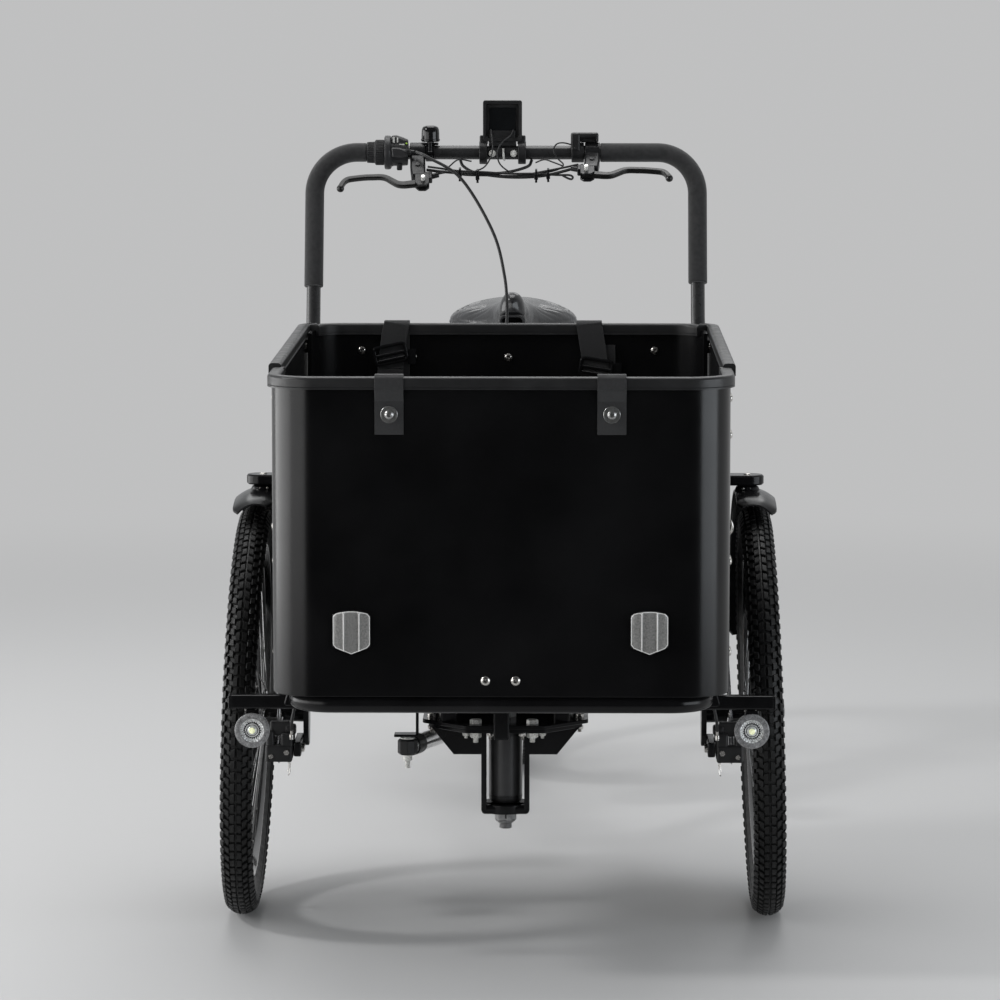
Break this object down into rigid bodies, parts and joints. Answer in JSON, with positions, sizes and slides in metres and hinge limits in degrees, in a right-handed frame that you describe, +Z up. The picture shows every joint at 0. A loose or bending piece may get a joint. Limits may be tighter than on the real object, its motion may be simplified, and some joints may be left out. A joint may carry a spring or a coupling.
{
  "type": "cargo tricycle",
  "caption": "Electric cargo tricycle: open box and hoop handlebar on a front chassis with leaning wheels, steering about a kingpin on a rear frame with saddle, motor and drive.",
  "frame": {"origin": "on the ground, at the middle of the whole tricycle's length and width", "axes": "+Z up, -Y to the front, +X to the rider's left, with the steering straight ahead"},
  "size_m": [0.839, 2.1856, 1.2054],
  "materials": {
    "box_panel": "satin black sheet",
    "frame_paint": "gloss black paint",
    "mudguard_plastic": "gloss black",
    "edge_trim": "dark grey satin",
    "floor_board": "black film-faced board",
    "tread_rubber": "matt",
    "foam_rubber": "matt",
    "bright_steel": "bright zinc",
    "dark_steel": "dark",
    "cast_aluminium": "satin",
    "lamp_lens": "clear lens over a lamp body",
    "webbing": "woven",
    "black_plastic": "satin",
    "saddle_vinyl": "smooth cover",
    "cable_sleeve": "satin"
  },
  "bodies": {
    "front_chassis": {"front_frame": "frame_paint", "box_floor": "floor_board", "front_panel": "box_panel", "rear_panel": "box_panel", "left_panel": "box_panel", "right_panel": "box_panel", "front_trim": "edge_trim", "rear_trim": "edge_trim", "left_trim": "edge_trim", "right_trim": "edge_trim", "left_headlamp": "lamp_lens", "right_headlamp": "lamp_lens", "left_mudguard": "mudguard_plastic", "right_mudguard": "mudguard_plastic", "handlebar": "frame_paint", "left_foam_grip": "foam_rubber", "right_foam_grip": "foam_rubber", "left_lever_clamp": "frame_paint", "right_lever_clamp": "frame_paint", "shifter_body": "black_plastic", "bell": "frame_paint", "display": "black_plastic", "remote_housing": "black_plastic", "left_caliper": "black_plastic", "right_caliper": "black_plastic", "steering_yoke": "frame_paint", "kingpin": "bright_steel", "shift_cable": "cable_sleeve", "brake_cables": "cable_sleeve", "front_left_strap": "webbing", "front_right_strap": "webbing", "rear_left_strap": "webbing", "rear_right_strap": "webbing"},
    "left_front_wheel": {"left_tyre": "tread_rubber", "left_wheel": "frame_paint", "left_brake_disc": "dark_steel"},
    "right_front_wheel": {"right_tyre": "tread_rubber", "right_wheel": "frame_paint", "right_brake_disc": "dark_steel"},
    "rear_body": {"rear_frame": "frame_paint", "motor": "black_plastic", "battery": "black_plastic", "rear_rack": "frame_paint", "rear_mudguard": "mudguard_plastic", "chain": "dark_steel"},
    "seat": {"seat_post": "dark_steel", "saddle": "saddle_vinyl"},
    "cranks": {"crankset": "dark_steel"},
    "left_pedal_body": {"left_pedal": "black_plastic"},
    "right_pedal_body": {"right_pedal": "black_plastic"},
    "back_wheel": {"rear_tyre": "tread_rubber", "rear_wheel": "frame_paint"},
    "driven_sprocket": {"rear_sprocket": "dark_steel"},
    "left_lever": {"left_brake_lever": "frame_paint"},
    "right_lever": {"right_brake_lever": "frame_paint"},
    "twist_grip": {"shifter_grip": "foam_rubber"},
    "striker": {"bell_striker": "frame_paint"},
    "assist_key": {"assist_button": "black_plastic"},
    "damper_barrel": {"damper_body": "cast_aluminium"},
    "damper_shaft": {"damper_rod": "bright_steel"}
  },
  "joints": [
    {"name": "left_wheel_spin", "type": "hinge", "parent": "front_chassis", "child": "left_front_wheel", "pos_m": [0.383, -0.56318, 0.30777], "axis": [0.9994, 0, 0.0349], "continuous": true},
    {"name": "right_wheel_spin", "type": "hinge", "parent": "front_chassis", "child": "right_front_wheel", "pos_m": [-0.383, -0.56318, 0.30777], "axis": [0.9994, 0, -0.0349], "continuous": true},
    {"name": "steering", "type": "hinge", "parent": "front_chassis", "child": "rear_body", "pos_m": [0, -0.50318, 0.21], "axis": [0, 0, 1], "range_deg": [-35, 35]},
    {"name": "rear_wheel_spin", "type": "hinge", "parent": "rear_body", "child": "back_wheel", "pos_m": [0, 0.74728, 0.33], "axis": [1, 0, 0], "continuous": true},
    {"name": "crank_spin", "type": "hinge", "parent": "rear_body", "child": "cranks", "pos_m": [0, 0.30682, 0.29], "axis": [1, 0, 0], "continuous": true},
    {"name": "left_pedal_spin", "type": "hinge", "parent": "cranks", "child": "left_pedal_body", "pos_m": [0.134, 0.13682, 0.29], "axis": [1, 0, 0], "continuous": true},
    {"name": "right_pedal_spin", "type": "hinge", "parent": "cranks", "child": "right_pedal_body", "pos_m": [-0.134, 0.47682, 0.29], "axis": [1, 0, 0], "continuous": true},
    {"name": "sprocket_spin", "type": "hinge", "parent": "rear_body", "child": "driven_sprocket", "pos_m": [-0.052, 0.74728, 0.33], "axis": [1, 0, 0], "continuous": true},
    {"name": "seat_height", "type": "slide", "parent": "rear_body", "child": "seat", "axis": [0, 0.342, 0.9397], "range_m": [0, 0.15]},
    {"name": "left_brake_pull", "type": "hinge", "parent": "front_chassis", "child": "left_lever", "pos_m": [0.1223, -0.10046, 1.09075], "axis": [0, -0.4848, 0.8746], "range_deg": [0, 16.5], "stiffness_Nm_per_rad": 2, "springref_deg": -17.19},
    {"name": "right_brake_pull", "type": "hinge", "parent": "front_chassis", "child": "right_lever", "pos_m": [-0.1357, -0.08949, 1.07618], "axis": [0, 0.7071, -0.7071], "range_deg": [0, 16.5], "stiffness_Nm_per_rad": 2, "springref_deg": -17.19},
    {"name": "gear_twist", "type": "hinge", "parent": "front_chassis", "child": "twist_grip", "pos_m": [-0.2, -0.04318, 1.1225], "axis": [1, 0, 0], "range_deg": [-70, 70]},
    {"name": "bell_flick", "type": "hinge", "parent": "front_chassis", "child": "striker", "pos_m": [-0.1255, -0.06318, 1.1228], "axis": [1, 0, 0], "range_deg": [0, 20], "stiffness_Nm_per_rad": 0.05, "springref_deg": -17.19},
    {"name": "assist_press", "type": "slide", "parent": "front_chassis", "child": "assist_key", "axis": [0, -1, 0], "range_m": [0, 0.0015], "stiffness_N_per_m": 300, "springref_m": -0.002},
    {"name": "damper_swing", "type": "hinge", "parent": "front_chassis", "child": "damper_barrel", "pos_m": [-0.147, -0.55118, 0.249], "axis": [0, 0, 1], "range_deg": [-23, 23]},
    {"name": "damper_stroke", "type": "slide", "parent": "damper_barrel", "child": "damper_shaft", "axis": [0.3804, 0.9248, 0], "range_m": [-0.072, 0.072]}
  ],
  "couplings": [
    {"joint": "sprocket_spin", "follows": "crank_spin", "ratio": 2},
    {"joint": "damper_swing", "follows": "steering", "ratio": 0.641},
    {"joint": "damper_stroke", "follows": "steering", "m_per_rad": -0.1154}
  ]
}
